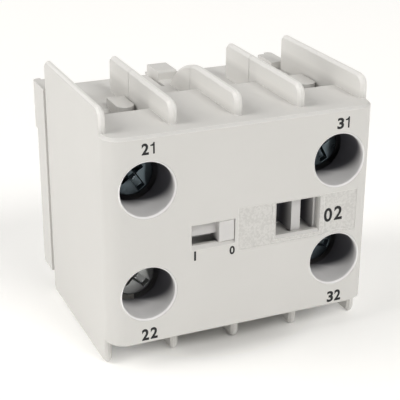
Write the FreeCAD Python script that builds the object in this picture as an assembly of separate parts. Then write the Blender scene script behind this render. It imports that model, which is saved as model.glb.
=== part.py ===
import FreeCAD, Part
import math
import os

# Auxiliary contact block with two normally closed contacts, which clips on the front of a small contactor.
# Lengths are in millimetres. x runs to the right across the front, y runs from the front face
# towards the rear, and z runs up from the lower edge of the front block.

# Block and barriers
bay_pitch = 10.5
barrier_thick = 1.3
side_margin = 1.0
side_wall = 1.2
block_height = 33.5
front_corner_r = 3.0
front_edge = 0.4
barrier_front = 3.2
barrier_rise = 3.5
side_rise = 3.7
foot_drop = 4.2
barrier_edge = 0.4
barrier_tip_r = 1.8
barrier_heel_r = 1.15
barrier_rear_r = 1.2
barrier_cut = 0.8
fin_rear = 30.0
side_rear = 30.7
fin_parting = 20.5
cover_lap = 3.0
ledge_thick = 1.5
ledge_back = 11.4

# Rear base
base_drop = 0.6
deck_height = 31.0
deck_edge_r = 0.4
base_rear = 36.4
base_shoulder = 30.9
shoulder_overhang = 0.2
base_side_gap = 0.2
base_corner_r = 1.0
base_heel_r = 2.0
raised_end_height = 32.2
raised_end_width = 2.9
cheek_width = 1.3
cheek_rear = 37.2
cheek_bottom = 24.0
moulding_gap = 0.1
arch_start = 17.0
arch_r = 17.0
guide_rib_r = 1.45
guide_rib_offset = 3.1
guide_rib_rise = 1.4
funnel_depth = 3.0
funnel_drop = 2.2

# Snap latch and hooks that hold the block on the switch it extends
latch_width = 3.4
latch_button_front = 32.0
latch_button_rise = 1.5
latch_reach = 1.0
latch_root = 28.8
latch_corner_r = 0.4
tongue_thick = 1.5
tongue_slot = 0.6
catch_reach = 1.0
catch_height = 1.3
hook_offset = 12.5
hook_width = 4.0
hook_reach = 2.0
hook_thick = 0.9
hook_height = 1.8
hook_drop = 1.4
hook_nose_r = 0.5

# Terminals
screw_shift = 0.175  # how far the screws stand inwards from the middles of their bays
screw_rise = 8.4
access_r = 4.25
access_rim = 0.35
chamber_front = 7.2
partition_half = 3.35
head_front = 7.3
head_r = 3.4
head_height = 2.3
head_edge = 0.4
slot_width = 0.9
slot_depth = 0.9
cross_width = 1.1
cross_span = 3.8
cross_depth = 1.6
cross_taper = 0.45
head_turn = 40.0
shank_r = 1.7
shank_past_plate = 0.6
thread_gap = 0.05
saddle_gap = 0.1
saddle_width = 8.0
saddle_height = 7.0
saddle_thick = 1.0
saddle_corner = 0.8
lip_thick = 0.7
lip_length = 1.3
lip_inset = 0.5
lip_gap = 0.3
lip_setback = 0.9
clamp_opening = 3.2
clamp_rest_gap = 0.1
plate_width = 6.2
plate_height = 7.2
strip_thick = 0.9
strip_corner = 0.6
strip_bend_r = 0.3
strip_overlap = 1.0
leg_height = 3.2
leg_drop = 3.15
leg_depth = 5.0
well_gap = 0.4
well_tip_gap = 0.5
boss_width = 5.4
boss_height = 6.4

# Contacts
contact_thick = 0.7
contact_half = 1.25
bridge_thick = 0.6
bridge_width = 4.0
bridge_waist = 3.2
bridge_end = 1.5
bridge_corner = 1.0
bridge_shoulder = 0.6
bridge_flare = 0.4
bridge_front_gap = 0.9
first_bridge_x = -4.4
second_bridge_x = 3.9
contact_room_gap = 1.2
leg_end_gap = 0.4

# Sliding carrier
travel = 4.2
overtravel = 1.0
running_gap = 0.2
end_gap = 0.1
bar_front = 5.4
bar_rear = 9.9
bar_half = 2.3
bar_left = -8.6
bar_right = 13.6
frame_half = 1.85
frame_right = 9.4
frame_rail = 1.1
spring_room = 3.2
stem_x = 2.1
stem_width = 3.6
stem_recess = 0.4
fork_gap = 1.6
fork_depth = 3.0
front_wall = 1.2
rib_half = 2.8
rib_gap = 0.25
first_rib_left = 8.4
first_rib_width = 1.55
second_rib_width = 1.4
rib_setback = 0.15

# Position window, its tab and the ribbed window
tab_width = 2.55
tab_edge = 0.1
tab_setback = 0.1
tab_gap = 0.08
slot_left = -8.75
slot_bottom = 14.8
slot_top = 18.35
slot_bevel = 0.55
slot_left_bevel = 0.3
panel_bottom = 16.0
panel_top = 19.0
panel_thick = 1.2
panel_left = -9.1
panel_past_tab = 0.6
neck_lift = 0.5
ribbed_left = 5.3
ribbed_right = 12.55
ribbed_bottom = 14.1
ribbed_top = 19.5
ribbed_bevel = 0.45
ribbed_far_bevel = 0.2
label_left = -1.33
label_right = 19.2
label_bottom = 12.95
label_top = 19.9
label_depth = 0.06
label_hole_margin = 1.0

# Springs
return_wire_r = 0.18
return_coil_r = 1.15
return_turns = 5
return_hole_half = 1.5
return_depth = 4.4
return_pip_half = 0.55
return_pip_length = 0.8
contact_wire_r = 0.16
contact_coil_r = 1.25
contact_turns = 3
coil_steps = 8

# Values that follow from the ones above
half_width = 2 * bay_pitch + side_margin
block_half = half_width - side_wall
mid_height = block_height / 2
bay_inner = bay_pitch + barrier_thick / 2
room_half = bay_pitch - barrier_thick / 2
bay_middle = (bay_inner + block_half) / 2
screw_x = bay_middle - screw_shift
barrier_top = block_height + barrier_rise
side_top = block_height + side_rise
foot = -foot_drop
base_half = half_width + shoulder_overhang
base_front_half = block_half - base_side_gap
head_rear = head_front + head_height
saddle_rear = head_rear + saddle_thick
plate_front = saddle_rear + clamp_opening
plate_rear = plate_front + strip_thick
clamp_travel = clamp_opening - clamp_rest_gap
shank_tip = plate_rear + shank_past_plate
cover_depth = plate_rear + cover_lap
well_bottom = shank_tip + clamp_travel + well_tip_gap
leg_rise = screw_rise - leg_drop
contact_y = plate_rear + bridge_front_gap + bridge_width / 2
bridge_half = leg_rise + bridge_end
slot_right = slot_left + travel + tab_width + 2 * tab_gap
channel_left = min(bar_left, panel_left) - travel - end_gap - return_pip_length
channel_right = bar_right + end_gap
bridge_rear = contact_y + bridge_width / 2
room_rear = max(plate_rear + leg_depth, bridge_rear) + leg_end_gap
frame_rear = bridge_rear + running_gap + frame_rail
face_bottom = base_heel_r - base_drop
rear_of_all = base_rear + max(hook_reach, latch_reach + catch_reach)
origin = FreeCAD.Vector(0, -rear_of_all / 2, foot_drop)
past = barrier_thick  # how far a cutting block reaches beyond the surface that it cuts
tiny = moulding_gap / 1000


def vector(x, y, z):
    return FreeCAD.Vector(x, y, z)


def block(x0, x1, y0, y1, z0, z1):
    return Part.makeBox(x1 - x0, y1 - y0, z1 - z0, vector(x0, y0, z0))


def rod(radius, start, length, direction):
    return Part.makeCylinder(radius, length, start, direction)


def outline(corners, place):
    # closed wire through corners given as (u, v, corner radius), with an arc at each rounded one
    spots = []
    for i, (u, v, radius) in enumerate(corners):
        here = vector(u, v, 0)
        before = vector(corners[i - 1][0], corners[i - 1][1], 0)
        after = vector(corners[(i + 1) % len(corners)][0], corners[(i + 1) % len(corners)][1], 0)
        if radius == 0:
            spots.append((here, None, here))
            continue
        to_before = (before - here).normalize()
        to_after = (after - here).normalize()
        half_angle = to_before.getAngle(to_after) / 2
        back = radius / math.tan(half_angle)
        centre = here + (to_before + to_after).normalize() * (radius / math.sin(half_angle))
        middle = centre + (here - centre).normalize() * radius
        spots.append((here + to_before * back, middle, here + to_after * back))
    edges = []
    for i, (start, middle, end) in enumerate(spots):
        if middle is not None:
            edges.append(Part.Arc(place(start), place(middle), place(end)).toShape())
        following = spots[(i + 1) % len(spots)][0]
        if (following - end).Length > 1e-6:
            edges.append(Part.LineSegment(place(end), place(following)).toShape())
    return Part.Wire(edges)


def plate_x(corners, x0, x1):
    wire = outline(corners, lambda p: vector(x0, p.x, p.y))
    return Part.Face(wire).extrude(vector(x1 - x0, 0, 0))


def plate_z(corners, z0, z1):
    wire = outline(corners, lambda p: vector(p.x, p.y, z0))
    return Part.Face(wire).extrude(vector(0, 0, z1 - z0))


def bevelled(shape, size, wanted):
    # bevels the edges for which wanted(bounding box) is true
    return shape.makeChamfer(size, [e for e in shape.Edges if wanted(e.BoundBox)])


def fused(shapes):
    return shapes[0].fuse(shapes[1:]).removeSplitter()


def mirrored_z(shape):
    return shape.mirror(vector(0, 0, mid_height), vector(0, 0, 1))


def mirrored_x(shape):
    return shape.mirror(vector(0, 0, 0), vector(1, 0, 0))


def both_levels(shape):
    return [shape, mirrored_z(shape)]


def four_corners(shape):
    return both_levels(shape) + both_levels(mirrored_x(shape))


def slab(y0, y1):
    # everything between two depths
    return block(-half_width - past, half_width + past, y0, y1, foot - past, side_top + past)


def space_over_arch():
    # what the middle barrier lacks above its round rear shoulder
    above = block(-past, past, arch_start, fin_rear + past, deck_height - past, barrier_top + past)
    start = vector(-2 * past, arch_start, barrier_top - arch_r)
    return above.cut(rod(arch_r, start, 4 * past, vector(1, 0, 0)))


def upright(centre, thick, rear, top):
    # a side wall or barrier with rounded corners and bevelled rims
    corners = [
        (barrier_front, foot, barrier_heel_r),
        (rear - barrier_cut, foot, 0),
        (rear, foot + barrier_cut, 0),
        (rear, top, barrier_rear_r),
        (barrier_front, top, barrier_tip_r),
    ]
    wall = plate_x(corners, centre - thick / 2, centre + thick / 2)
    if centre == 0:
        wall = wall.cut(space_over_arch())
    return bevelled(wall, barrier_edge, lambda b: b.XLength < tiny)


def fins(y0, y1):
    # the stretch of the three barriers between two depths
    stretch = slab(y0, y1)
    centres = (-bay_pitch, 0, bay_pitch)
    return [upright(x, barrier_thick, fin_rear, barrier_top).common(stretch) for x in centres]


def front_block():
    # the plain front of the cover, rounded in plan and bevelled along its rim, with its long walls behind it
    nose_rear = barrier_front + barrier_edge
    nose_corners = [
        (-half_width, 0, front_corner_r),
        (half_width, 0, front_corner_r),
        (half_width, nose_rear, 0),
        (-half_width, nose_rear, 0),
    ]
    nose = plate_z(nose_corners, 0, block_height)
    nose = bevelled(nose, front_edge, lambda b: b.ZLength < tiny and b.YMin < barrier_front - tiny)
    body = block(-block_half, block_half, barrier_front, cover_depth, 0, block_height)
    return [nose, body]


def cover_barriers():
    side_centre = half_width - side_wall / 2
    sides = [upright(x, side_wall, side_rear, side_top) for x in (-side_centre, side_centre)]
    low = -base_drop - moulding_gap
    high = deck_height + moulding_gap
    room_for_base = block(-block_half, block_half, cover_depth, fin_rear, low, high)
    return sides + [fin.cut(room_for_base) for fin in fins(barrier_front - past, fin_parting)]


def terminal_chamber():
    # the right upper wiring space: under the ledge at the front, open at the top behind it
    floor = mid_height + partition_half
    rear = cover_depth + past
    under_ledge = block(bay_inner, block_half, chamber_front, rear, floor, block_height - ledge_thick)
    entry = block(bay_inner, block_half, ledge_back, rear, floor, block_height + past)
    return under_ledge.fuse(entry)


def access_hole():
    # the right upper screwdriver hole with its bevelled rim
    start = vector(screw_x, -past, mid_height + screw_rise)
    hole = rod(access_r, start, chamber_front + 2 * past, vector(0, 1, 0))
    rim = Part.makeCone(access_r + access_rim + past, access_r, access_rim + past, start, vector(0, 1, 0))
    return hole.fuse(rim)


def leg_slot():
    low = mid_height + leg_rise - leg_height / 2 - moulding_gap
    high = low + leg_height + 2 * moulding_gap
    front = plate_front - moulding_gap
    return block(room_half - past, bay_inner + past, front, cover_depth + past, low, high)


def centred_block(x0, x1, y0, y1, half_height):
    return block(x0, x1, y0, y1, mid_height - half_height, mid_height + half_height)


def contact_room(y0, y1):
    half_height = bridge_half + contact_room_gap
    return centred_block(-room_half, room_half, y0, y1, half_height)


def bevelled_window(x0, x1, z0, z1, bevels):
    # an opening whose rim slopes outwards by the bevels (left, right, bottom, top)
    left, right, bottom, top = bevels

    def rectangle(y, grow):
        return Part.makePolygon(
            [
                vector(x0 - left * grow, y, z0 - bottom * grow),
                vector(x1 + right * grow, y, z0 - bottom * grow),
                vector(x1 + right * grow, y, z1 + top * grow),
                vector(x0 - left * grow, y, z1 + top * grow),
                vector(x0 - left * grow, y, z0 - bottom * grow),
            ]
        )

    depth = max(bevels)
    mouth = Part.makeLoft([rectangle(0, 1), rectangle(depth, 0)], True, True)
    return fused([mouth, block(x0, x1, depth / 2, front_wall + past, z0, z1)])


def label_field():
    # shallow matt panel between the screwdriver holes, round the ribbed window
    field = block(label_left, label_right, -past, label_depth, label_bottom, label_top)
    for level in (-1, 1):
        start = vector(screw_x, -2 * past, mid_height + level * screw_rise)
        field = field.cut(rod(access_r + label_hole_margin, start, 4 * past, vector(0, 1, 0)))
    margin = 2 * ribbed_bevel
    low = ribbed_bottom - margin
    high = ribbed_top + margin
    return field.cut(block(ribbed_left - margin, ribbed_right + margin, -2 * past, past, low, high))


def spring_y():
    return (bar_front + bar_rear) / 2


def return_pip():
    # square stub that keeps the return spring in line
    y = spring_y()
    half = return_pip_half
    return centred_block(channel_left - past, channel_left + return_pip_length, y - half, y + half, half)


def front_cover():
    cover = fused(front_block() + cover_barriers())
    chambers = four_corners(terminal_chamber())
    holes = four_corners(access_hole())
    slots = four_corners(leg_slot())
    channel = [
        centred_block(channel_left, channel_right, front_wall, bar_front + running_gap, rib_half + rib_gap),
        centred_block(channel_left, channel_right, bar_front, bar_rear + running_gap, bar_half + running_gap),
        centred_block(channel_left, channel_right, bar_rear, cover_depth + past, frame_half + running_gap),
    ]
    room = contact_room(plate_front - contact_room_gap, cover_depth + past)
    slot_bevels = (slot_left_bevel, 0, slot_bevel, 0)
    ribbed_bevels = (ribbed_bevel, ribbed_far_bevel, ribbed_bevel, ribbed_far_bevel)
    windows = [
        bevelled_window(slot_left, slot_right, slot_bottom, slot_top, slot_bevels),
        bevelled_window(ribbed_left, ribbed_right, ribbed_bottom, ribbed_top, ribbed_bevels),
        label_field(),
    ]
    cover = cover.cut(chambers + holes + slots + channel + [room] + windows)
    return cover.fuse(return_pip()).removeSplitter()


def base_body():
    plan = [
        (-base_front_half, cover_depth, 0),
        (base_front_half, cover_depth, 0),
        (base_front_half, base_shoulder, 0),
        (base_half, base_shoulder, 0),
        (base_half, base_rear, base_corner_r),
        (-base_half, base_rear, base_corner_r),
        (-base_half, base_shoulder, 0),
        (-base_front_half, base_shoulder, 0),
    ]
    profile = [
        (cover_depth, -base_drop, 0),
        (base_rear, -base_drop, base_heel_r),
        (base_rear, deck_height, deck_edge_r),
        (cover_depth, deck_height, 0),
    ]
    body = plate_z(plan, -base_drop, deck_height)
    return body.common(plate_x(profile, -base_half - past, base_half + past))


def raised_end():
    # the right-hand end of the deck and the cheek that reaches past the rear face
    low = cheek_bottom
    high = raised_end_height
    end = block(base_half - raised_end_width, base_half, base_shoulder, base_rear, low, high)
    cheek = block(base_half - cheek_width, base_half, base_shoulder, cheek_rear, low, high)
    corner = fused([end, cheek])

    def on_outer_rim(b):
        return b.XMin > base_half - tiny and b.ZLength > tiny and b.YMin > cheek_rear - tiny

    return bevelled(corner, base_corner_r / 2, on_outer_rim)


def funnel():
    # slope that leads a wire down into the right upper wiring space
    corners = [
        (cover_depth - past, deck_height + past, 0),
        (cover_depth + funnel_depth, deck_height + past, 0),
        (cover_depth + funnel_depth, deck_height, 0),
        (cover_depth, deck_height - funnel_drop, 0),
        (cover_depth - past, deck_height - funnel_drop, 0),
    ]
    return plate_x(corners, bay_inner, base_front_half + past)


def guide_rib(bay_centre):
    # half-round upright rib on the rear wall of an upper wiring space
    centre = vector(bay_centre + guide_rib_offset, cover_depth, mid_height + partition_half)
    top = deck_height + guide_rib_rise
    rib = rod(guide_rib_r, centre, top - centre.z, vector(0, 0, 1))
    left = centre.x - guide_rib_r
    right = centre.x + guide_rib_r
    tail = block(left, right, cover_depth, cover_depth + funnel_depth + guide_rib_r, centre.z, top)
    return fused([rib, tail])


def plate_boss():
    # the post behind the right upper terminal plate
    level = mid_height + screw_rise
    left = screw_x - boss_width / 2
    low = level - boss_height / 2
    return block(left, left + boss_width, plate_rear, cover_depth + past, low, low + boss_height)


def screw_well():
    # square pocket in the post that takes the tip of the screw
    half = shank_r + well_gap
    level = mid_height + screw_rise
    return block(screw_x - half, screw_x + half, plate_rear - past, well_bottom, level - half, level + half)


def latch():
    # springy tongue with its button and its catch
    half = latch_width / 2
    end = base_rear + latch_reach
    button_corners = [
        (latch_button_front, deck_height - tongue_thick, 0),
        (end, deck_height - tongue_thick, 0),
        (end, deck_height + latch_button_rise, latch_corner_r),
        (latch_button_front, deck_height + latch_button_rise, latch_corner_r),
    ]
    button = plate_x(button_corners, -half, half)
    catch_low = deck_height - tongue_thick
    catch_corners = [
        (end - past, catch_low, 0),
        (end, catch_low, 0),
        (end + catch_reach, catch_low + catch_height, 0),
        (end - past, catch_low + catch_height, 0),
    ]
    return fused([button, plate_x(catch_corners, -half, half)])


def latch_slots():
    # the gaps beside and under the tongue that let it bend
    half = latch_width / 2
    reach = half + tongue_slot
    rear = cheek_rear + past
    high = deck_height - tongue_thick
    low = high - tongue_slot
    cuts = [block(-reach, reach, latch_root, rear, low, high)]
    for x0 in (-reach, half):
        cuts.append(block(x0, x0 + tongue_slot, latch_root, rear, low, deck_height + past))
    return cuts


def hook(centre):
    # arm at the lower edge of the flat rear face with a tip that turns down
    tip = base_rear + hook_reach
    top = face_bottom + hook_drop
    corners = [
        (base_rear - past, top, 0),
        (tip, top, hook_nose_r),
        (tip, face_bottom - hook_height, 0),
        (tip - hook_thick, face_bottom - hook_height, 0),
        (tip - hook_thick, face_bottom, 0),
        (base_rear - past, face_bottom, 0),
    ]
    return plate_x(corners, centre - hook_width / 2, centre + hook_width / 2)


def rear_base():
    ends = [raised_end(), mirrored_x(raised_end())]
    bosses = four_corners(plate_boss())
    base = fused([base_body()] + ends + bosses + fins(fin_parting + moulding_gap, fin_rear + past))
    base = base.cut([funnel(), mirrored_x(funnel())] + latch_slots())
    guides = [guide_rib(-bay_middle), guide_rib(bay_middle)]
    hooks = [hook(-hook_offset), hook(hook_offset)]
    base = fused([base] + guides + hooks + [latch()])
    front = cover_depth - past
    stem_left = stem_x - stem_width / 2 - travel - running_gap
    stem_right = stem_x + stem_width / 2 + running_gap
    frame_left = bar_left - travel - end_gap
    half_height = frame_half + running_gap
    cavities = four_corners(screw_well()) + [
        contact_room(front, room_rear),
        centred_block(frame_left, frame_right + end_gap, front, frame_rear + running_gap, half_height),
        centred_block(stem_left, stem_right, front, base_rear + past, half_height),
    ]
    return base.cut(cavities).removeSplitter()


def contact_carrier():
    bar = centred_block(bar_left, bar_right, bar_front, bar_rear, bar_half)
    shelf_front = front_wall + rib_setback
    second_rib_left = bar_right - second_rib_width
    ribs = [
        centred_block(left, left + width, shelf_front, bar_front, rib_half)
        for left, width in ((first_rib_left, first_rib_width), (second_rib_left, second_rib_width))
    ]
    tab_right = slot_right - tab_gap
    tab_left = tab_right - tab_width
    shelf_rear = shelf_front + panel_thick
    tab = block(tab_left, tab_right, tab_setback, shelf_rear, slot_bottom + tab_gap, slot_top - tab_gap)
    tab = bevelled(tab, tab_edge, lambda b: b.YMax < tab_setback + tiny)
    panel = block(panel_left, tab_right + panel_past_tab, shelf_front, shelf_rear, panel_bottom, panel_top)
    neck_bottom = mid_height - bar_half + neck_lift
    neck = block(tab_left, tab_right, shelf_front, bar_front, neck_bottom, slot_top - tab_gap)
    frame = centred_block(bar_left, frame_right, bar_rear, frame_rear, frame_half)
    stem_rear = base_rear - stem_recess
    stem = centred_block(stem_x - stem_width / 2, stem_x + stem_width / 2, frame_rear, stem_rear, frame_half)
    carrier = fused([bar, frame, stem, panel, neck, tab] + ribs)
    hole_front = spring_y() - return_hole_half
    hole_rear = spring_y() + return_hole_half
    cuts = [centred_block(bar_left - past, bar_left + return_depth, hole_front, hole_rear, return_hole_half)]
    window_front = contact_y - bridge_width / 2 - running_gap
    window_rear = contact_y + bridge_width / 2 + running_gap
    through = frame_half + past
    for bridge_x in (first_bridge_x, second_bridge_x):
        stop = bridge_x + bridge_thick
        cuts.append(centred_block(bridge_x - spring_room, stop, window_front, window_rear, through))
    fork_left = stem_x - fork_gap / 2
    fork_front = stem_rear - fork_depth
    cuts.append(centred_block(fork_left, fork_left + fork_gap, fork_front, stem_rear + past, through))
    return carrier.cut(cuts).removeSplitter()


def strip_face(left):
    # x of the contact face of a terminal strip's bent leg
    bridge_x = first_bridge_x if left else second_bridge_x
    return bridge_x + bridge_thick + 2 * contact_thick


def terminal_strip(left):
    # upper terminal plate with the leg that carries the fixed contact
    side = -1 if left else 1
    level = mid_height + screw_rise
    x0 = side * screw_x - plate_width / 2
    z0 = level - plate_height / 2
    plate = block(x0, x0 + plate_width, plate_front, plate_rear, z0, z0 + plate_height)
    plate = bevelled(plate, strip_corner, lambda b: b.YLength > strip_thick - tiny)
    face = strip_face(left)
    outer = side * (screw_x - plate_width / 2 + strip_overlap)
    outer_bend_r = strip_thick + strip_bend_r
    if left:
        leg_corners = [
            (outer, plate_front, 0),
            (face + strip_thick, plate_front, outer_bend_r),
            (face + strip_thick, plate_rear + leg_depth, 0),
            (face, plate_rear + leg_depth, 0),
            (face, plate_rear, strip_bend_r),
            (outer, plate_rear, 0),
        ]
    else:
        leg_corners = [
            (outer, plate_front, 0),
            (outer, plate_rear, 0),
            (face + strip_thick, plate_rear, strip_bend_r),
            (face + strip_thick, plate_rear + leg_depth, 0),
            (face, plate_rear + leg_depth, 0),
            (face, plate_front, outer_bend_r),
        ]
    leg_low = mid_height + leg_rise - leg_height / 2
    leg = plate_z(leg_corners, leg_low, leg_low + leg_height)
    start = vector(side * screw_x, plate_front - past, level)
    hole = rod(shank_r + thread_gap, start, strip_thick + 2 * past, vector(0, 1, 0))
    return fused([plate, leg]).cut(hole)


def contact_tip(x0):
    # square contact pad with cut corners
    half = contact_half
    cut = contact_half / 3
    level = mid_height + leg_rise
    corners = []
    for u, v in ((1, 1), (-1, 1), (-1, -1), (1, -1)):
        near = (contact_y + u * half, level + v * (half - cut), 0)
        far = (contact_y + u * (half - cut), level + v * half, 0)
        corners += [near, far] if u * v > 0 else [far, near]
    return plate_x(corners, x0, x0 + contact_thick)


def bridge(bridge_x):
    # spring-loaded cross piece, wide at both ends where it carries the moving contacts
    wide = bridge_width / 2
    waist = bridge_waist / 2
    shoulder = leg_rise - contact_half - bridge_shoulder
    flare = wide - waist + bridge_flare
    quarter = [
        (waist, shoulder - flare),
        (wide, shoulder),
        (wide, bridge_half - bridge_corner),
        (wide - bridge_corner, bridge_half),
    ]
    upper = quarter + [(-y, z) for y, z in reversed(quarter)]
    lower = [(-y, -z) for y, z in upper]
    corners = [(contact_y + y, mid_height + z, 0) for y, z in upper + lower]
    return plate_x(corners, bridge_x, bridge_x + bridge_thick)


def terminal_screw():
    # upper right clamp screw with a slot and a cross recess
    level = mid_height + screw_rise
    head = rod(head_r, vector(screw_x, head_front, level), head_height, vector(0, 1, 0))
    head = bevelled(head, head_edge, lambda b: b.YMax < head_front + tiny)
    shank = rod(shank_r, vector(screw_x, head_rear, level), shank_tip - head_rear, vector(0, 1, 0))
    screw = head.fuse(shank).removeSplitter()
    reach = head_r + past
    low = level - slot_width / 2
    slot_rear = head_front + slot_depth
    slot = block(screw_x - reach, screw_x + reach, head_front - past, slot_rear, low, low + slot_width)
    top = cross_span / 2
    foot_half = top * cross_taper
    corners = [
        (screw_x - top, head_front - moulding_gap, 0),
        (screw_x + top, head_front - moulding_gap, 0),
        (screw_x + foot_half, head_front + cross_depth, 0),
        (screw_x - foot_half, head_front + cross_depth, 0),
    ]
    wing = plate_z(corners, level - cross_width / 2, level + cross_width / 2)
    other_wing = wing.copy()
    other_wing.rotate(vector(screw_x, 0, level), vector(0, 1, 0), 90)
    screw = screw.cut([slot, wing, other_wing])
    screw.rotate(vector(screw_x, 0, level), vector(0, 1, 0), head_turn)
    return screw


def clamp_saddle():
    # upper right wire clamp: a square washer with two turned lips
    level = mid_height + screw_rise
    x0 = screw_x - saddle_width / 2
    x1 = screw_x + saddle_width / 2
    z0 = level - saddle_height / 2
    z1 = level + saddle_height / 2
    washer = block(x0, x1, head_rear, saddle_rear, z0, z1)
    washer = bevelled(washer, saddle_corner, lambda b: b.YLength > saddle_thick - tiny)
    lip_low = mid_height + leg_rise + leg_height / 2 + lip_gap
    lip_rear = saddle_rear + lip_length
    lips = [
        block(left, left + lip_thick, head_rear + lip_inset, lip_rear, lip_low, z1 - lip_setback)
        for left in (x0, x1 - lip_thick)
    ]
    start = vector(screw_x, head_rear - past, level)
    hole = rod(shank_r + saddle_gap, start, saddle_thick + 2 * past, vector(0, 1, 0))
    return fused([washer] + lips).cut(hole)


def coil(start, length, coil_r, wire_r, turns):
    # compression spring along x as straight runs of six-sided wire that lie inside the stated length
    steps = turns * coil_steps
    rise = length - 2 * wire_r
    rings = []
    for i in range(steps + 1):
        angle = 2 * math.pi * i / coil_steps
        ring = []
        for side in range(6):
            around = math.pi * side / 3
            radius = coil_r + wire_r * math.cos(around)
            along = wire_r + rise * i / steps + wire_r * math.sin(around)
            ring.append(start + vector(along, radius * math.cos(angle), radius * math.sin(angle)))
        rings.append(ring)
    faces = [Part.Face(Part.makePolygon(ring + [ring[0]])) for ring in (rings[0], rings[-1])]
    for near, far in zip(rings, rings[1:]):
        for side in range(6):
            after = (side + 1) % 6
            for corners in ((near[side], near[after], far[side]), (near[after], far[after], far[side])):
                faces.append(Part.Face(Part.makePolygon(list(corners) + [corners[0]])))
    return Part.Solid(Part.Shell(faces))


def export(name, shape):
    shape = shape.copy()
    shape.translate(origin)
    shape.exportStep("parts/" + name + ".step")


def main():
    os.makedirs("parts", exist_ok=True)
    export("front_cover", front_cover())
    export("rear_base", rear_base())
    export("contact_carrier", contact_carrier())
    terminals = {"31": (1, 1), "32": (1, -1), "21": (-1, 1), "22": (-1, -1)}
    for number, (side, level) in terminals.items():
        left = side < 0
        face = strip_face(left)
        strip = terminal_strip(left)
        fixed = contact_tip(face - contact_thick)
        moving = contact_tip(face - 2 * contact_thick)
        screw = terminal_screw()
        saddle = clamp_saddle()
        if left:
            screw = mirrored_x(screw)
            saddle = mirrored_x(saddle)
        pieces = {
            "terminal_strip_": strip,
            "fixed_contact_": fixed,
            "moving_contact_": moving,
            "terminal_screw_": screw,
            "clamp_saddle_": saddle,
        }
        for name, shape in pieces.items():
            export(name + number, shape if level > 0 else mirrored_z(shape))
    for name, bridge_x in (("left", first_bridge_x), ("right", second_bridge_x)):
        export("bridge_" + name, bridge(bridge_x))
        seat = vector(bridge_x - spring_room, contact_y, mid_height)
        spring = coil(seat, spring_room, contact_coil_r, contact_wire_r, contact_turns)
        export("contact_spring_" + name, spring)
    seat = vector(channel_left, spring_y(), mid_height)
    length = bar_left + return_depth - channel_left
    export("return_spring", coil(seat, length, return_coil_r, return_wire_r, return_turns))


main()
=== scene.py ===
import bpy
import math
from mathutils import Matrix, Vector


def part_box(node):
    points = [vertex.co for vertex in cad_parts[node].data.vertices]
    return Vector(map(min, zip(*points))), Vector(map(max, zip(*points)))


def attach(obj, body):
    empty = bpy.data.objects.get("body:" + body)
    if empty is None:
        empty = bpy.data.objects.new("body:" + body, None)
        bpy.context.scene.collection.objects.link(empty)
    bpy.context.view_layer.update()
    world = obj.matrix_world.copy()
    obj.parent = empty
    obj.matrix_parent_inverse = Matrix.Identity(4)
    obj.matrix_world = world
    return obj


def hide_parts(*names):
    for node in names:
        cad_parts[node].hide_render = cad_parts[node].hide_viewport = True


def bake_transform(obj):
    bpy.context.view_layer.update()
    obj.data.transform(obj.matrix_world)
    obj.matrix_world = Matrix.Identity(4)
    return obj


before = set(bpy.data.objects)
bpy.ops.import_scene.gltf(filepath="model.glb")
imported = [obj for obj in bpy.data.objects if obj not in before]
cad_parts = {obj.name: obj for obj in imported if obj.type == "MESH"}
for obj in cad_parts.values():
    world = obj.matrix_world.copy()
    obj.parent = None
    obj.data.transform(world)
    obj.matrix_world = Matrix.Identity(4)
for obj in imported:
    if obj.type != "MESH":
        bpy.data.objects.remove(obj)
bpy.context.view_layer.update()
mm = 0.001


def boxMiddle(node):
    low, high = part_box(node)
    return (low + high) / 2


# the middle of the plain front face, from which the camera, the marks and the shading are placed
screwPlace = boxMiddle("terminal_screw_31")
screwsMiddle = (screwPlace + boxMiddle("terminal_screw_32")) / 2
frontMiddle = Vector((0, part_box("front_cover")[0].y, screwsMiddle.z))


def pick(*pieces):
    # only these pieces selected, the first one active
    bpy.ops.object.select_all(action="DESELECT")
    for piece in pieces:
        piece.select_set(True)
    bpy.context.view_layer.objects.active = pieces[0]


def settle(piece):
    # the place goes into the mesh, and the object back to the origin
    pick(piece)
    bpy.ops.object.transform_apply(location=True, rotation=True, scale=True)


def applyAll(piece):
    pick(piece)
    for modifier in list(piece.modifiers):
        bpy.ops.object.modifier_apply(modifier=modifier.name)


def smooth(piece, degrees=35):
    pick(piece)
    bpy.ops.object.shade_smooth_by_angle(angle=math.radians(degrees))


def selectParts(piece, kind, wanted):
    # faces by wanted(centre, normal), or edges by wanted(centre, run); stays in edit mode
    pick(piece)
    bpy.ops.object.mode_set(mode="EDIT")
    bpy.ops.mesh.select_all(action="DESELECT")
    bpy.ops.mesh.select_mode(type=kind)
    bpy.ops.object.mode_set(mode="OBJECT")
    mesh = piece.data
    if kind == "FACE":
        for face in mesh.polygons:
            face.select = wanted(face.center, face.normal)
    else:
        for edge in mesh.edges:
            first, second = (mesh.vertices[i].co for i in edge.vertices)
            edge.select = wanted((first + second) / 2, second - first)
    bpy.ops.object.mode_set(mode="EDIT")


def leaveEdit():
    bpy.ops.object.mode_set(mode="OBJECT")


def closeShell(piece, merge=0.001):
    # doubles within merge mm merged, holes filled, faces outwards
    pick(piece)
    bpy.ops.object.mode_set(mode="EDIT")
    bpy.ops.mesh.select_all(action="SELECT")
    bpy.ops.mesh.remove_doubles(threshold=merge * mm)
    bpy.ops.mesh.fill_holes(sides=0)
    bpy.ops.mesh.normals_make_consistent(inside=False)
    leaveEdit()
    return piece


def cutAway(piece, cutter):
    cut = piece.modifiers.new("cut", "BOOLEAN")
    cut.object = cutter
    cut.solver = "EXACT"
    applyAll(piece)
    bpy.data.objects.remove(cutter)


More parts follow.
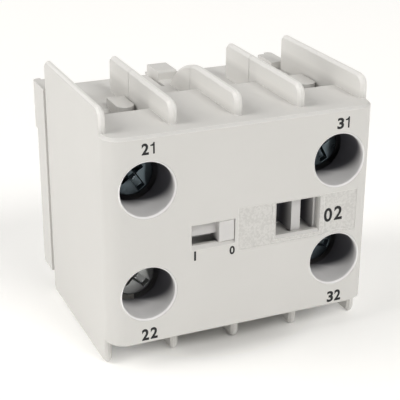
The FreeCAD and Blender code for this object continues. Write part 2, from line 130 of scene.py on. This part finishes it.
def addNode(owner, kind, inputs=None, **settings):
    # a node in a material or the world; inputs are sockets or plain values
    tree = owner.node_tree
    made = tree.nodes.new(kind)
    for name, value in settings.items():
        setattr(made, name, value)
    for name, value in (inputs or {}).items():
        if isinstance(value, bpy.types.NodeSocket):
            tree.links.new(value, made.inputs[name])
        else:
            made.inputs[name].default_value = value
    return made


def calc(owner, operation, first, second=0.0, third=0.0, clamp=False):
    inputs = {0: first, 1: second, 2: third}
    return addNode(owner, "ShaderNodeMath", inputs, operation=operation, use_clamp=clamp).outputs[0]


def calcVector(owner, operation, first, second=None, output="Vector"):
    inputs = {0: first} if second is None else {0: first, 1: second}
    return addNode(owner, "ShaderNodeVectorMath", inputs, operation=operation).outputs[output]


def axesOf(owner, place):
    return addNode(owner, "ShaderNodeSeparateXYZ", {0: place}).outputs


def ramp(owner, value, start, end, low=0.0, high=1.0, kind="LINEAR"):
    # low up to start, high from end on
    limits = {"Value": value, "From Min": start, "From Max": end, "To Min": low, "To Max": high}
    made = addNode(owner, "ShaderNodeMapRange", limits, interpolation_type=kind)
    return made.outputs["Result"]


camera = {
    "place": (-68.132, -139.407, 69.929),  # mm from the middle of the front face
    "azimuth": -23.443,
    "elevation": 22.942,
    "roll": 0.30,
    "lens": 100.77,
    "sensor": 36,
    "clipStart": 0.01,
}
studio = {
    "gamma": 0.9,
    "floorSize": 6.0,
    "floorTone": (0.82, 0.815, 0.80),
    "floorRoughness": 0.9,
    "floorShine": 0.1,
    "floorGlow": 0.31,  # a light table, so shadows stay pale
    "covered": (15.0, 23.0),  # mm from the middle, where the glow starts and is full
    "worldTone": (1.0, 0.992, 0.98),
    "worldPower": 0.52,
    "darkSide": (-0.40, -0.88, 0.24),  # the room behind the camera is darker
    "darkFrom": (0.20, 0.70),  # cosines where it starts and is darkest
    "darkLeft": 0.04,  # share of light left there
    "aim": (0.0, 0.0, 0.02),
    "lamps": {  # place in m, size in m, power in W, colour
        "mainLamp": ((0.6, -1.8, 1.8), 1.1, 28.0, (1.0, 0.99, 0.975)),
        "leftLamp": ((-1.7, 0.3, 1.3), 1.6, 26.0, (1.0, 0.99, 0.975)),
        "glintLamp": ((-0.45, -1.3, 0.5), 0.15, 3.2, (1.0, 1.0, 1.0)),
    },
}


def addCamera():
    a = math.radians(camera["azimuth"])
    e = math.radians(camera["elevation"])
    roll = math.radians(camera["roll"])
    back = Vector((math.sin(a) * math.cos(e), -math.cos(a) * math.cos(e), math.sin(e)))
    level = Vector((math.cos(a), math.sin(a), 0))
    upright = back.cross(level)
    right = level * math.cos(roll) + upright * math.sin(roll)
    up = upright * math.cos(roll) - level * math.sin(roll)
    lens = bpy.data.cameras.new("photoCamera")
    lens.lens = camera["lens"]
    lens.sensor_width = camera["sensor"]
    lens.sensor_fit = "HORIZONTAL"
    lens.clip_start = camera["clipStart"]
    holder = bpy.data.objects.new("photoCamera", lens)
    bpy.context.scene.collection.objects.link(holder)
    turn = Matrix((right, up, back)).transposed().to_4x4()
    holder.matrix_world = Matrix.Translation(frontMiddle + Vector(camera["place"]) * mm) @ turn
    bpy.context.scene.camera = holder


def addLamp(name, place, size, power, tone):
    lamp = bpy.data.lights.new(name, "AREA")
    lamp.shape = "DISK"
    lamp.size = size
    lamp.energy = power
    lamp.color = tone
    holder = bpy.data.objects.new(name, lamp)
    bpy.context.scene.collection.objects.link(holder)
    holder.location = place
    ahead = Vector(studio["aim"]) - Vector(place)
    holder.rotation_euler = ahead.to_track_quat("-Z", "Y").to_euler()


def addFloor():
    bpy.ops.object.select_all(action="DESELECT")
    bpy.ops.mesh.primitive_plane_add(size=studio["floorSize"])
    floor = bpy.context.object
    floor.name = "studioFloor"
    paper, place, shader = newMaterial("palePaper")
    shader.inputs["Roughness"].default_value = studio["floorRoughness"]
    shader.inputs["Specular IOR Level"].default_value = studio["floorShine"]
    shader.inputs["Base Color"].default_value = (*studio["floorTone"], 1)
    shader.inputs["Emission Color"].default_value = (*studio["floorTone"], 1)
    near, far = (reach * mm for reach in studio["covered"])
    away = calcVector(paper, "LENGTH", place, output="Value")
    glow = ramp(paper, away, near, far, high=studio["floorGlow"])
    paper.node_tree.links.new(glow, shader.inputs["Emission Strength"])
    floor.data.materials.append(paper)


def addWorld():
    world = bpy.data.worlds.new("softWorld")
    world.use_nodes = True
    sky = world.node_tree.nodes["Background"]
    sky.inputs["Color"].default_value = (*studio["worldTone"], 1)
    ways = addNode(world, "ShaderNodeTexCoord").outputs["Generated"]
    dark = Vector(studio["darkSide"]).normalized()
    toDark = calcVector(world, "DOT_PRODUCT", ways, dark, output="Value")
    share = ramp(world, toDark, *studio["darkFrom"], 1.0, studio["darkLeft"], "SMOOTHSTEP")
    power = calc(world, "MULTIPLY", share, studio["worldPower"])
    world.node_tree.links.new(power, sky.inputs["Strength"])
    bpy.context.scene.world = world


def addStudio():
    bpy.context.scene.view_settings.view_transform = "Standard"
    bpy.context.scene.view_settings.gamma = studio["gamma"]
    addFloor()
    for name, settings in studio["lamps"].items():
        addLamp(name, *settings)
    addWorld()


def newMaterial(name):
    material = bpy.data.materials.new(name)
    material.use_nodes = True
    place = addNode(material, "ShaderNodeTexCoord").outputs["Object"]
    return material, place, material.node_tree.nodes["Principled BSDF"]


def blendTones(material, share, first, second):
    # the first tone at share 0, the second at share 1
    mix = addNode(material, "ShaderNodeMix", {0: share}, data_type="RGBA")
    for name, value in (("A", first), ("B", second)):
        socket = [s for s in mix.inputs if s.name == name and s.type == "RGBA"][0]
        if isinstance(value, bpy.types.NodeSocket):
            material.node_tree.links.new(value, socket)
        else:
            socket.default_value = (*value, 1)
    return [s for s in mix.outputs if s.type == "RGBA"][0]


def noise(material, place, scale, detail, rough=0.5, stretch=None):
    if stretch:
        stretched = {"Vector": place, "Scale": stretch}
        place = addNode(material, "ShaderNodeMapping", stretched).outputs[0]
    inputs = {"Vector": place, "Scale": scale, "Detail": detail, "Roughness": rough}
    return addNode(material, "ShaderNodeTexNoise", inputs).outputs["Fac"]


def roughen(material, shader, height, soft, strength, depth):
    # the bump on the soft normal; depth in mm
    inputs = {"Height": height, "Normal": soft, "Strength": strength, "Distance": depth * mm}
    bump = addNode(material, "ShaderNodeBump", inputs)
    material.node_tree.links.new(bump.outputs[0], shader.inputs["Normal"])


def softEdges(material, width, gain=8.0, samples=6):
    # a rounded normal near sharp edges, and a mask that is one right on them
    radius = {"Radius": width * mm}
    soft = addNode(material, "ShaderNodeBevel", radius, samples=samples).outputs["Normal"]
    flat = addNode(material, "ShaderNodeNewGeometry").outputs["Normal"]
    away = calc(material, "SUBTRACT", 1.0, calcVector(material, "DOT_PRODUCT", soft, flat, "Value"))
    return soft, calc(material, "MULTIPLY", away, gain)


plastic = {
    "tones": ((0.655, 0.645, 0.622), (0.70, 0.69, 0.668)),
    "carrierTones": ((0.63, 0.62, 0.612), (0.69, 0.68, 0.668)),
    "cloud": (70, 4.0),  # noise scale per m and detail, between the two tones
    "grain": (5200, 2.0),  # spark-eroded surface
    "grainBump": 0.10,
    "bump": (0.8, 0.02),  # strength, depth in mm
    "roughness": (0.12, 0.40),  # how much it varies, lowest
    "ior": 1.5,
    "shine": 0.35,
    "edge": 0.16,  # mm
    # painted highlight along the edges
    "edgeLightTone": (0.88, 0.87, 0.85),
    "edgeMost": 0.7,
    "bandDepth": 0.5,
    "frontBand": (1, 9.5, 0.05),  # faint mould line: axis, mm from the front's middle, half width
    "deckBand": (2, 13.45, 0.05),
    "finLightTone": (0.80, 0.79, 0.765),  # painted light: the thin barriers are painted paler for the light that comes through them and falls on them
    "finLightFrom": (16.8, 18.0),  # mm above the front's middle, where it starts and is full
    "finLightOut": 21.9,  # mm, how far out it reaches
}
label = {
    "tone": (0.60, 0.59, 0.568),
    "bump": 1.1,
    "box": ((8.935, 0, -0.325), (10.265, 0.12, 3.475)),  # mm, middle and half size
    "speckle": (2900, 2.0, 0.6),
    "speckleFrom": (0.42, 0.58),
    "lift": -0.1,
}
shade = {  # painted shade on unlit plastic, and painted light where light falls into the screw holes; depths are in mm behind the front, where it starts and is full
    "tone": (0.115, 0.112, 0.125),
    "holeR": 4.5,  # mm, round the screw axes
    # painted light: the pale tone of the lit part inside the screw holes
    "holeLightTone": (0.93, 0.92, 0.915),
    "holeStart": (0.02, 0.25),
    "holeDepth": (3.6, 8.0),
    "discStart": (0.4, 1.4),
    "disc": (0.92, 1.5),  # off the lit disc, in hole radii, where the dark starts and is full
    "discShift": (0.5, 1.25),  # how far the lit disc moves left and down for each mm of depth
    "windows": (  # mm, middle and half size
        ((8.925, 5.0, 0.05), (3.9, 4.6, 3.0)),
        ((-5.3, 5.0, -0.17), (3.8, 4.6, 2.2)),
    ),
    "windowDepth": (1.2, 2.6),
    "chambers": (  # the walls round the screws, on both sides
        ((15.8, 12.2, 8.6), (5.1, 5.2, 5.4)),
        ((15.8, 13.5, -12.1), (5.1, 6.5, 8.9)),
    ),
    "chamberDepth": (7.0, 8.2),
    "carrierDepth": (0.6, 4.5),
}


def thinBand(material, height, place, half):
    # one on a thin line at that place along an axis, zero beside it
    away = calc(material, "ABSOLUTE", calc(material, "SUBTRACT", height, place))
    near = calc(material, "DIVIDE", away, half * mm)
    return calc(material, "SUBTRACT", 1.0, near, clamp=True)


def insideBox(material, place, middle, half):
    # one inside the box, zero outside
    middle = frontMiddle + Vector(middle) * mm
    half = Vector(half) * mm
    off = calcVector(material, "SUBTRACT", place, middle)
    apart = axesOf(material, calcVector(material, "ABSOLUTE", off))
    x, y, z = (calc(material, "LESS_THAN", apart[i], half[i]) for i in range(3))
    return calc(material, "MULTIPLY", calc(material, "MULTIPLY", x, y), z)


def depthShare(material, place, start, full):
    # zero in front of a depth behind the front face, one beyond the other
    near, far = (frontMiddle.y + depth * mm for depth in (start, full))
    return ramp(material, axesOf(material, place)[1], near, far, kind="SMOOTHSTEP")


def fromScrews(material, height, middle, reach):
    # signed distance from the nearer of the two screw axes at middle + reach and middle - reach
    height = calc(material, "SUBTRACT", height, middle)
    side = calc(material, "SIGN", height)
    return calc(material, "SUBTRACT", height, calc(material, "MULTIPLY", side, reach))


def lengthOf(material, first, second):
    square = calc(material, "MULTIPLY", first, first)
    return calc(material, "SQRT", calc(material, "MULTIPLY_ADD", second, second, square))


def holeShares(material, place):
    # one in the four screwdriver holes, and one where light that falls in from above doesn't reach
    apart = axesOf(material, place)
    across = fromScrews(material, apart[0], 0.0, screwPlace.x)
    rise = fromScrews(material, apart[2], frontMiddle.z, screwPlace.z - frontMiddle.z)
    inside = calc(material, "LESS_THAN", lengthOf(material, across, rise), shade["holeR"] * mm)
    inside = calc(material, "MULTIPLY", inside, depthShare(material, place, *shade["holeStart"]))
    depth = calc(material, "SUBTRACT", apart[1], frontMiddle.y)
    left, down = shade["discShift"]
    across = calc(material, "MULTIPLY_ADD", depth, left, across)
    rise = calc(material, "MULTIPLY_ADD", depth, down, rise)
    start, full = (share * screw["holeR"] * mm for share in shade["disc"])
    dark = ramp(material, lengthOf(material, across, rise), start, full, kind="SMOOTHSTEP")
    dark = calc(material, "MAXIMUM", dark, depthShare(material, place, *shade["holeDepth"]))
    deep = depthShare(material, place, *shade["discStart"])
    return inside, calc(material, "MULTIPLY", dark, deep)


def shadeBoxes(material, place, colour, boxes, depths):
    deep = depthShare(material, place, *depths)
    for middle, half in boxes:
        share = calc(material, "MULTIPLY", insideBox(material, place, middle, half), deep)
        colour = blendTones(material, share, colour, shade["tone"])
    return colour


def shadeCover(material, place, colour):
    # the light and dark stretches in the cover's holes, windows and chambers
    inside, dark = holeShares(material, place)
    hole = blendTones(material, dark, shade["holeLightTone"], shade["tone"])
    colour = blendTones(material, inside, colour, hole)
    colour = shadeBoxes(material, place, colour, shade["windows"], shade["windowDepth"])
    apart = axesOf(material, place)
    mirrored = {0: calc(material, "ABSOLUTE", apart[0]), 1: apart[1], 2: apart[2]}
    mirrored = addNode(material, "ShaderNodeCombineXYZ", mirrored).outputs[0]
    return shadeBoxes(material, mirrored, colour, shade["chambers"], shade["chamberDepth"])


def shadeCarrier(material, place, colour):
    deep = depthShare(material, place, *shade["carrierDepth"])
    return blendTones(material, deep, colour, shade["tone"])


def finLightShare(material, place):
    # painted light on the barriers: one above the front block, zero below and on the outer sides
    apart = axesOf(material, place)
    start, full = (frontMiddle.z + height * mm for height in plastic["finLightFrom"])
    above = ramp(material, apart[2], start, full)
    sideways = calc(material, "ABSOLUTE", apart[0])
    inner = calc(material, "LESS_THAN", sideways, plastic["finLightOut"] * mm)
    return calc(material, "MULTIPLY", above, inner)


def printLabel(material, place, colour, height):
    # the rough label field on the front
    mask = insideBox(material, place, *label["box"])
    speckle = noise(material, place, *label["speckle"])
    dots = ramp(material, speckle, *label["speckleFrom"])
    dots = calc(material, "MULTIPLY_ADD", dots, 1.0, label["lift"])
    colour = blendTones(material, calc(material, "MULTIPLY", mask, dots), colour, label["tone"])
    extra = calc(material, "MULTIPLY", mask, label["bump"])
    return colour, calc(material, "ADD", height, calc(material, "MULTIPLY", speckle, extra))


def plasticMaterial(name, tones, labelled=False, bands=(), shading=None):
    material, place, shader = newMaterial(name)
    cloud = noise(material, place, *plastic["cloud"])
    grain = noise(material, place, *plastic["grain"])
    soft, rim = softEdges(material, plastic["edge"])
    colour = blendTones(material, cloud, *tones)
    # painted light: the barriers above the front block paler
    colour = blendTones(material, finLightShare(material, place), colour, plastic["finLightTone"])
    height = calc(material, "MULTIPLY", grain, plastic["grainBump"])
    if labelled:
        colour, height = printLabel(material, place, colour, height)
    for axis, away, half in bands:
        line = axesOf(material, place)[axis]
        line = thinBand(material, line, frontMiddle[axis] + away * mm, half)
        line = calc(material, "MULTIPLY", line, plastic["bandDepth"])
        height = calc(material, "SUBTRACT", height, line)
    # painted highlight: the edges lighter where they would catch light
    edgeHighlight = calc(material, "MINIMUM", rim, plastic["edgeMost"])
    colour = blendTones(material, edgeHighlight, colour, plastic["edgeLightTone"])
    if shading:
        colour = shading(material, place, colour)
    roughen(material, shader, height, soft, *plastic["bump"])
    links = material.node_tree.links
    links.new(colour, shader.inputs["Base Color"])
    gloss = calc(material, "MULTIPLY_ADD", cloud, *plastic["roughness"])
    links.new(gloss, shader.inputs["Roughness"])
    shader.inputs["IOR"].default_value = plastic["ior"]
    shader.inputs["Specular IOR Level"].default_value = plastic["shine"]
    return material


metals = {  # main tone, second tone, roughness spread and lowest, brushing stretch, metal share
    # painted glint: near-white and mostly not metallic, on the screws' bevelled recess edges
    "glintZinc": ((0.90, 0.93, 0.95), (0.97, 0.98, 0.99), (0.10, 0.30), (1, 1, 1), 0.15),
    # blue-passivated zinc tint, painted darker for the shade in the screw holes
    "screwZincShaded": ((0.085, 0.11, 0.125), (0.19, 0.225, 0.245), (0.20, 0.20), (1, 9, 1), 1.0),
    # painted light: a copy of the screw zinc painted lighter, for the light on screw 22
    "litScrewZinc": ((0.30, 0.31, 0.31), (0.50, 0.51, 0.50), (0.20, 0.26), (1, 9, 1), 1.0),
    # painted shade: zinc painted nearly black, for the shade round the screws
    "saddleZincShaded": ((0.055, 0.06, 0.068), (0.10, 0.108, 0.118), (0.20, 0.34), (1, 9, 1), 1.0),
    "stripBrass": ((0.62, 0.47, 0.22), (0.72, 0.58, 0.31), (0.18, 0.28), (1, 12, 12), 1.0),
    "bridgeCopper": ((0.62, 0.36, 0.22), (0.74, 0.47, 0.30), (0.18, 0.28), (12, 12, 1), 1.0),
    "contactSilver": ((0.74, 0.735, 0.72), (0.62, 0.61, 0.59), (0.18, 0.34), (1, 1, 1), 1.0),
    "springSteel": ((0.45, 0.45, 0.46), (0.58, 0.58, 0.59), (0.15, 0.22), (1, 5, 5), 1.0),
}
metalGrainAndGlints = {
    "brushed": (900, 4.0, 0.65),  # noise scale per m, detail and roughness
    "cloud": (420, 3.0),
    "bump": (0.5, 0.012),  # strength, depth in mm
    "edge": 0.08,  # mm
    "edgeMost": 0.9,
    "edgeGlintLift": 3.5,  # painted highlight: how much brighter than the second tone the edges are
}


def metalMaterial(name):
    main, second, roughness, stretch, metal = metals[name]
    material, place, shader = newMaterial(name)
    brushed = noise(material, place, *metalGrainAndGlints["brushed"], stretch=stretch)
    cloud = noise(material, place, *metalGrainAndGlints["cloud"])
    soft, rim = softEdges(material, metalGrainAndGlints["edge"])
    # painted highlight along the metal edges
    bright = tuple(min(1, c * metalGrainAndGlints["edgeGlintLift"]) for c in second)
    edgeHighlight = calc(material, "MINIMUM", rim, metalGrainAndGlints["edgeMost"])
    colour = blendTones(material, edgeHighlight, blendTones(material, cloud, main, second), bright)
    roughen(material, shader, brushed, soft, *metalGrainAndGlints["bump"])
    links = material.node_tree.links
    links.new(colour, shader.inputs["Base Color"])
    gloss = calc(material, "MULTIPLY_ADD", brushed, *roughness)
    links.new(gloss, shader.inputs["Roughness"])
    shader.inputs["Metallic"].default_value = metal
    return material


def dress(material, *names):
    for name in names:
        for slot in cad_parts[name].material_slots:
            slot.material = material


def numbered(name):
    return [name + "_" + number for number in ("21", "22", "31", "32")]


screw = {
    "holeR": 4.25,  # mm, of the screwdriver hole in front of it
    "headR": 3.6,
    "headHeight": 2.3,
    "headSides": 72,
    "rim": 0.4,
    "backRim": 0.12,
    "shankR": 1.7,
    "shankEnd": 8.0,  # mm from the head's front to the tip
    "tipRim": 0.35,
    "slot": (1.35, 6.2, 1.1, 0.96),  # width, span, depth and taper of the broad slot
    "wing": (1.1, 4.4, 1.7, 0.45),  # the same of the cross recess
    "lead": 0.1,  # mm that their cutters stand out in front
    "wallTaper": 0.8,
    "glintEdge": 0.22,  # mm, bevelled edges of the recess, painted with a glint
    "glintFrom": 40,  # degrees between faces
    "threadRoot": 1.45,
    "threadSink": 0.1,
    "threadWidth": 0.85,
    "threadSteps": 28,
    "threadEnds": (0.5, 1.0),  # mm of plain shank under the head, and in all
    "pitch": 0.6,
    # screw 22 takes the copy painted lighter for the light on it
    "finish": {"31": "screwZincShaded", "32": "screwZincShaded", "21": "screwZincShaded", "22": "litScrewZinc"},
    "turns": {"31": -62.0, "32": -18.0, "21": -56.0, "22": -42.0},  # degrees off level
}


def wingCutter(kind, turn):
    width, span, depth, taper = screw[kind]
    lead = screw["lead"]
    bpy.ops.object.select_all(action="DESELECT")
    bpy.ops.mesh.primitive_cube_add(size=1, location=(0, 0, (depth - lead) / 2 * mm))
    cutter = bpy.context.object
    cutter.scale = (span * mm, width * mm, (depth + lead) * mm)
    settle(cutter)
    selectParts(cutter, "FACE", lambda c, n: n.z > 0.9)
    bpy.ops.transform.resize(value=(taper, screw["wallTaper"], 1))
    leaveEdit()
    cutter.rotation_euler = (0, 0, turn)
    settle(cutter)
    return cutter


def threadRidge():
    # one turn of a sharp ridge, repeated down the shank
    pitch = screw["pitch"] * mm
    root = screw["threadRoot"] * mm
    crest = screw["shankR"] * mm
    start, plain = screw["threadEnds"]
    bpy.ops.object.select_all(action="DESELECT")
    upright = (math.pi / 2, 0, 0)
    bpy.ops.mesh.primitive_circle_add(vertices=3, radius=pitch / 2, rotation=upright)
    ridge = bpy.context.object
    settle(ridge)
    low = min(v.co.x for v in ridge.data.vertices)
    high = max(v.co.x for v in ridge.data.vertices)
    stretch = (crest - root + screw["threadSink"] * mm) / (high - low)
    ridge.location = (crest - high * stretch, 0, (screw["headHeight"] + start) * mm)
    ridge.scale = (stretch, 1, screw["threadWidth"])
    settle(ridge)
    coil = ridge.modifiers.new("coil", "SCREW")
    coil.axis = "Z"
    coil.screw_offset = pitch
    coil.iterations = int((screw["shankEnd"] - screw["headHeight"] - plain) / screw["pitch"])
    coil.steps = coil.render_steps = screw["threadSteps"]
    applyAll(ridge)
    return closeShell(ridge)


def roundRing(body, height, width, segments, profile=0.5):
    # bevels the level edges at that height
    near, level = 0.01 * mm, 0.001 * mm
    selectParts(body, "EDGE", lambda c, d: abs(c.z - height) < near and abs(d.z) < level)
    bpy.ops.mesh.bevel(offset=width * mm, segments=segments, profile=profile)
    leaveEdit()


def makeScrew():
    headR = screw["headR"] * mm
    high = screw["headHeight"] * mm
    tip = screw["shankEnd"] * mm
    bpy.ops.object.select_all(action="DESELECT")
    bpy.ops.mesh.primitive_cylinder_add(
        vertices=screw["headSides"], radius=headR, depth=high, location=(0, 0, high / 2)
    )
    body = bpy.context.object
    settle(body)
    for finish in ("screwZincShaded", "glintZinc"):
        body.data.materials.append(metalFinish[finish])
    roundRing(body, 0, screw["rim"], 4, 0.6)
    roundRing(body, high, screw["backRim"], 2)
    selectParts(body, "FACE", lambda c, n: n.z > 0.99 and c.z > high - 0.01 * mm)
    bpy.ops.mesh.inset(thickness=headR - screw["backRim"] * mm - screw["threadRoot"] * mm)
    bpy.ops.mesh.extrude_region_move(TRANSFORM_OT_translate={"value": (0, 0, tip - high)})
    leaveEdit()
    roundRing(body, tip, screw["tipRim"], 2)
    cutAway(body, wingCutter("slot", 0))
    cutAway(body, wingCutter("wing", 0))
    cutAway(body, wingCutter("wing", math.pi / 2))
    # the bevel's faces take the painted glint material
    edgeHighlight = body.modifiers.new("edgeHighlight", "BEVEL")
    edgeHighlight.width = screw["glintEdge"] * mm
    edgeHighlight.segments = 2
    edgeHighlight.limit_method = "ANGLE"
    edgeHighlight.angle_limit = math.radians(screw["glintFrom"])
    edgeHighlight.material = 1
    applyAll(body)
    pick(body, threadRidge())
    bpy.ops.object.join()
    body.rotation_euler = (-math.pi / 2, 0, 0)
    settle(body)
    return body


def addScrews():
    first = makeScrew()
    for number, turn in screw["turns"].items():
        middle = boxMiddle("terminal_screw_" + number)
        piece = first.copy()
        piece.data = first.data.copy()
        bpy.context.scene.collection.objects.link(piece)
        piece.name = piece.data.name = "clampScrew" + number
        piece.rotation_euler = (0, -math.radians(turn), 0)
        piece.location = (middle.x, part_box("terminal_screw_" + number)[0].y, middle.z)
        settle(piece)
        piece.data.materials[0] = metalFinish[screw["finish"][number]]
        smooth(piece)
        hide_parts("terminal_screw_" + number)
        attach(piece, "screw_" + number)
    bpy.data.objects.remove(first)


spring = {
    "sides": 12,
    "steps": 32,
    "smoothTo": 60,  # degrees
    "pieces": {  # turns, wire radius in mm, the bodies at the left and right end
        "return_spring": (5, 0.18, "housing", "carrier"),
        "contact_spring_left": (3, 0.16, "carrier", "left_contact"),
        "contact_spring_right": (3, 0.16, "carrier", "right_contact"),
    },
}


def addSpring(node, turns, wireR, leftBody, rightBody, material):
    # round wire wound along x in the space of the solid that it stands for
    low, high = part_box(node)
    wire = wireR * mm
    place = ((high.z - low.z) / 2 - wire, 0, 0)
    upright = (math.pi / 2, 0, 0)
    bpy.ops.object.select_all(action="DESELECT")
    bpy.ops.mesh.primitive_circle_add(
        vertices=spring["sides"], radius=wire, location=place, rotation=upright
    )
    piece = bpy.context.object
    settle(piece)
    coil = piece.modifiers.new("coil", "SCREW")
    coil.axis = "Z"
    coil.iterations = turns
    coil.screw_offset = (high.x - low.x - 2 * wire) / turns
    coil.steps = coil.render_steps = spring["steps"]
    applyAll(piece)
    closeShell(piece)
    middle = (low + high) / 2
    piece.rotation_euler = (0, math.pi / 2, 0)
    piece.location = (low.x + wire, middle.y, middle.z)
    settle(piece)
    piece.name = piece.data.name = "woundWire_" + node
    piece.data.materials.append(material)
    smooth(piece, spring["smoothTo"])
    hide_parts(node)
    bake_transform(piece)


marks = {
    "film": 0.006,  # mm that the ink stands proud
    "root": 0.02,
    "tones": ((0.006, 0.006, 0.007), (0.022, 0.022, 0.024)),
    "wear": (2400, 3.0),  # noise scale per m and detail
    "roughness": (0.2, 0.4),  # how much it varies, lowest
    "weight": 0.034,  # how much each stroke is thickened
    "tallWeight": 0.026,  # the same on tall signs
    "tallFrom": 2,  # mm
    "slab": 0.5,
    "smoothness": 6,
    "signs": {  # character, then left, right, bottom, top and depth in mm from the front's middle
        "mark21": (
            ("2", -16.72, -15.62, 13.9, 15.65, 0),
            ("1", -15.38, -14.72, 13.95, 15.7, 0),
        ),
        "mark31": (
            ("3", 15, 16.15, 13.55, 15.35, 0),
            ("1", 16.42, 17.12, 13.6, 15.4, 0),
        ),
        "mark22": (
            ("2", -17.15, -16, -16.1, -14.15, 0),
            ("2", -15.75, -14.6, -16.05, -14.1, 0),
        ),
        "mark32": (
            ("3", 14.8, 15.95, -16.1, -14.15, 0),
            ("2", 16.15, 17.3, -16.05, -14.1, 0),
        ),
        "mark02": (
            ("0", 13.5, 14.95, -1.7, 0.65, 0.06),
            ("2", 15.3, 16.75, -1.6, 0.75, 0.06),
        ),
        "markOn": (("I", -8.6, -8.28, -4.2, -2.65, 0),),
        "markOff": (("0", -2.74, -1.86, -4.25, -2.85, 0),),
    },
    "one": (  # outline of a one with a flag, which the built-in font lacks
        (0.30, 0), (0.46, 0), (0.46, 1), (0.34, 1), (0.30, 0.9),
        (0.2, 0.83), (0.05, 0.8), (0.05, 0.69), (0.3, 0.69),
    ),
}


def inkMaterial():
    material, place, shader = newMaterial("blackInk")
    wear = noise(material, place, *marks["wear"])
    colour = blendTones(material, wear, *marks["tones"])
    material.node_tree.links.new(colour, shader.inputs["Base Color"])
    gloss = calc(material, "MULTIPLY_ADD", wear, *marks["roughness"])
    material.node_tree.links.new(gloss, shader.inputs["Roughness"])
    return material


def flatOne():
    line = bpy.data.curves.new("one", "CURVE")
    line.dimensions = "2D"
    line.fill_mode = "BOTH"
    path = line.splines.new("POLY")
    path.points.add(len(marks["one"]) - 1)
    for point, (x, y) in zip(path.points, marks["one"]):
        point.co = (x, y, 0, 1)
    path.use_cyclic_u = True
    sign = bpy.data.objects.new("one", line)
    bpy.context.scene.collection.objects.link(sign)
    pick(sign)


def addCharacter(text, left, right, bottom, top, depth):
    bpy.ops.object.select_all(action="DESELECT")
    if text == "1":
        flatOne()
    else:
        bpy.ops.object.text_add()
        bpy.context.object.data.body = text
        weight = marks["weight"] if top - bottom < marks["tallFrom"] else marks["tallWeight"]
        bpy.context.object.data.offset = weight if text != "I" else 0
    sign = bpy.context.object
    sign.data.extrude = marks["slab"]
    sign.data.resolution_u = marks["smoothness"]
    bpy.ops.object.convert(target="MESH")
    sign = bpy.context.object
    corners = [Vector(v.co) for v in sign.data.vertices]
    low = Vector([min(c[i] for c in corners) for i in range(3)])
    high = Vector([max(c[i] for c in corners) for i in range(3)])
    wanted = (right - left, top - bottom, marks["film"] + marks["root"])
    sign.location = -(low + high) / 2
    settle(sign)
    sign.scale = [wanted[i] * mm / (high[i] - low[i]) for i in range(3)]
    sign.rotation_euler = (math.pi / 2, 0, 0)
    middle = depth + (marks["root"] - marks["film"]) / 2
    sign.location = frontMiddle + Vector(((left + right) / 2, middle, (bottom + top) / 2)) * mm
    settle(sign)
    return closeShell(sign)


def addMark(name, characters, material):
    signs = [addCharacter(*character) for character in characters]
    pick(*signs)
    if len(signs) > 1:
        bpy.ops.object.join()
    sign = bpy.context.view_layer.objects.active
    sign.name = sign.data.name = name
    sign.data.materials.clear()
    sign.data.materials.append(material)
    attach(sign, "housing")


addCamera()
addStudio()
print("studio ready")

coverPlastic = plasticMaterial(
    "coverPlastic", plastic["tones"], True, [plastic["frontBand"]], shadeCover
)
basePlastic = plasticMaterial("basePlastic", plastic["tones"], bands=[plastic["deckBand"]])
carrierPlastic = plasticMaterial("carrierPlastic", plastic["carrierTones"], shading=shadeCarrier)
metalFinish = {name: metalMaterial(name) for name in metals}
dress(coverPlastic, "front_cover")
dress(basePlastic, "rear_base")
dress(carrierPlastic, "contact_carrier")
dress(metalFinish["saddleZincShaded"], *numbered("clamp_saddle"))
dress(metalFinish["stripBrass"], *numbered("terminal_strip"))
dress(metalFinish["contactSilver"], *numbered("fixed_contact"), *numbered("moving_contact"))
dress(metalFinish["bridgeCopper"], "bridge_left", "bridge_right")
print("finishes ready")

addScrews()
print("screws ready")
for name, settings in spring["pieces"].items():
    addSpring(name, *settings, metalFinish["springSteel"])
print("springs ready")
ink = inkMaterial()
for name, characters in marks["signs"].items():
    addMark(name, characters, ink)
print("marks ready")
